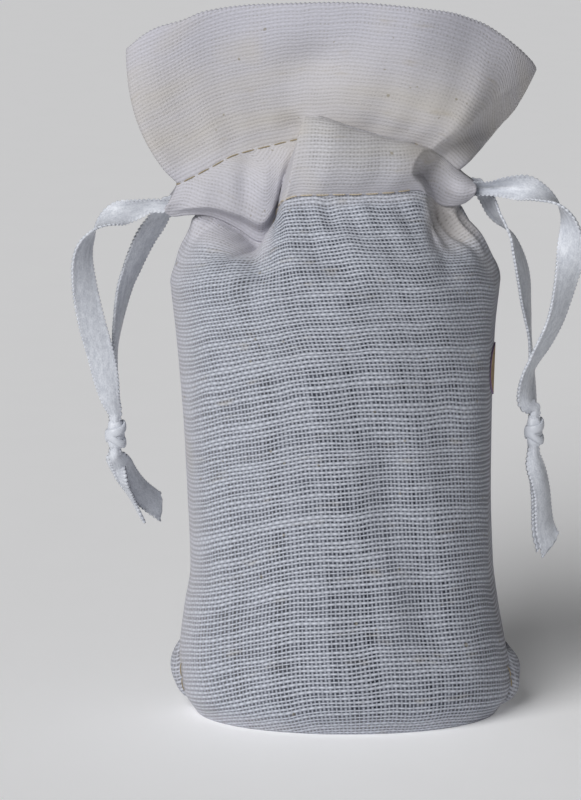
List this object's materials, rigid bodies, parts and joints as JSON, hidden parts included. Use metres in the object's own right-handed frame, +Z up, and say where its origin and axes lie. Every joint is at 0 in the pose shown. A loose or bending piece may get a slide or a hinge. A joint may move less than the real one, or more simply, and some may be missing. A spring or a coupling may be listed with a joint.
{
  "type": "lavender sachet",
  "caption": "Open-weave linen drawstring pouch with a boxed flat base, stuffed with dried lavender and drawn shut under a flared frill by knotted satin ribbons that pull out and swing.",
  "frame": {"origin": "middle of the flat base, on the surface that the sachet stands on", "axes": "+X to the right seen from the front, +Y to the back, +Z up from the base to the frill"},
  "size_m": [0.1134, 0.053, 0.1597],
  "materials": {
    "body_linen": "open plain weave, undyed, matte",
    "frill_linen": "doubled plain weave, undyed, matte",
    "satin_ribbon": "white satin with a fine looped edge",
    "lavender": "loose dried buds, matte",
    "kraft_paper": "bare kraft paper with a violet rim"
  },
  "bodies": {
    "bag": {"front_body": "body_linen", "back_body": "body_linen", "base_panel": "body_linen", "left_corner_ear": "body_linen", "right_corner_ear": "body_linen", "front_casing": "frill_linen", "front_casing_lining": "frill_linen", "front_frill": "frill_linen", "back_casing": "frill_linen", "back_casing_lining": "frill_linen", "back_frill": "frill_linen", "lavender_fill": "lavender", "back_label": "kraft_paper", "left_ribbon_in_casing": "satin_ribbon", "right_ribbon_in_casing": "satin_ribbon"},
    "left_ribbon_ends": {"left_front_lead": "satin_ribbon", "left_back_lead": "satin_ribbon"},
    "left_ribbon_loop": {"left_front_strand": "satin_ribbon", "left_back_strand": "satin_ribbon", "left_knot": "satin_ribbon", "left_front_tail": "satin_ribbon", "left_back_tail": "satin_ribbon"},
    "right_ribbon_ends": {"right_front_lead": "satin_ribbon", "right_back_lead": "satin_ribbon"},
    "right_ribbon_loop": {"right_front_strand": "satin_ribbon", "right_back_strand": "satin_ribbon", "right_knot": "satin_ribbon", "right_front_tail": "satin_ribbon", "right_back_tail": "satin_ribbon"}
  },
  "joints": [
    {"name": "left_ribbon_pull", "type": "slide", "parent": "bag", "child": "left_ribbon_ends", "axis": [-1, 0, 0], "range_m": [0, 0.006]},
    {"name": "left_ribbon_swing", "type": "hinge", "parent": "left_ribbon_ends", "child": "left_ribbon_loop", "pos_m": [-0.0423, 0, 0.1164], "axis": [0, 1, 0], "range_deg": [0, 40]},
    {"name": "right_ribbon_pull", "type": "slide", "parent": "bag", "child": "right_ribbon_ends", "axis": [1, 0, 0], "range_m": [0, 0.006]},
    {"name": "right_ribbon_swing", "type": "hinge", "parent": "right_ribbon_ends", "child": "right_ribbon_loop", "pos_m": [0.032, 0, 0.1207], "axis": [0, -1, 0], "range_deg": [0, 35]}
  ]
}
